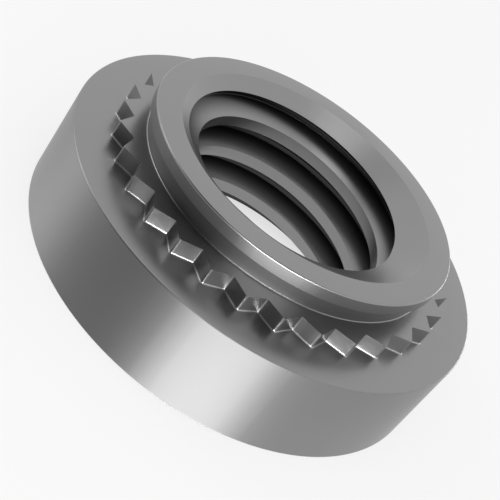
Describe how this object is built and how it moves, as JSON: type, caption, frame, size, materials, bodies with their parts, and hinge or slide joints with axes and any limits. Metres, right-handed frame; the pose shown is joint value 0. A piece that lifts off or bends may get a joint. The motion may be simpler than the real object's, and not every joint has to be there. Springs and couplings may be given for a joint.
{
  "type": "self clinching nut",
  "caption": "Self clinching nut: a round flat head, a toothed clinching ring on its upper face, and an undercut collar round a countersunk right-hand thread.",
  "frame": {"origin": "centre of the head's flat lower face, on the thread's axis", "axes": "+Z along the thread's axis from the head towards the collar, +X through the tip of one clinching tooth"},
  "size_m": [0.0086, 0.0086, 0.0028],
  "materials": {
    "steel": "smooth plated steel, satin"
  },
  "bodies": {
    "root": {"self_clinching_nut": "steel"}
  },
  "joints": []
}
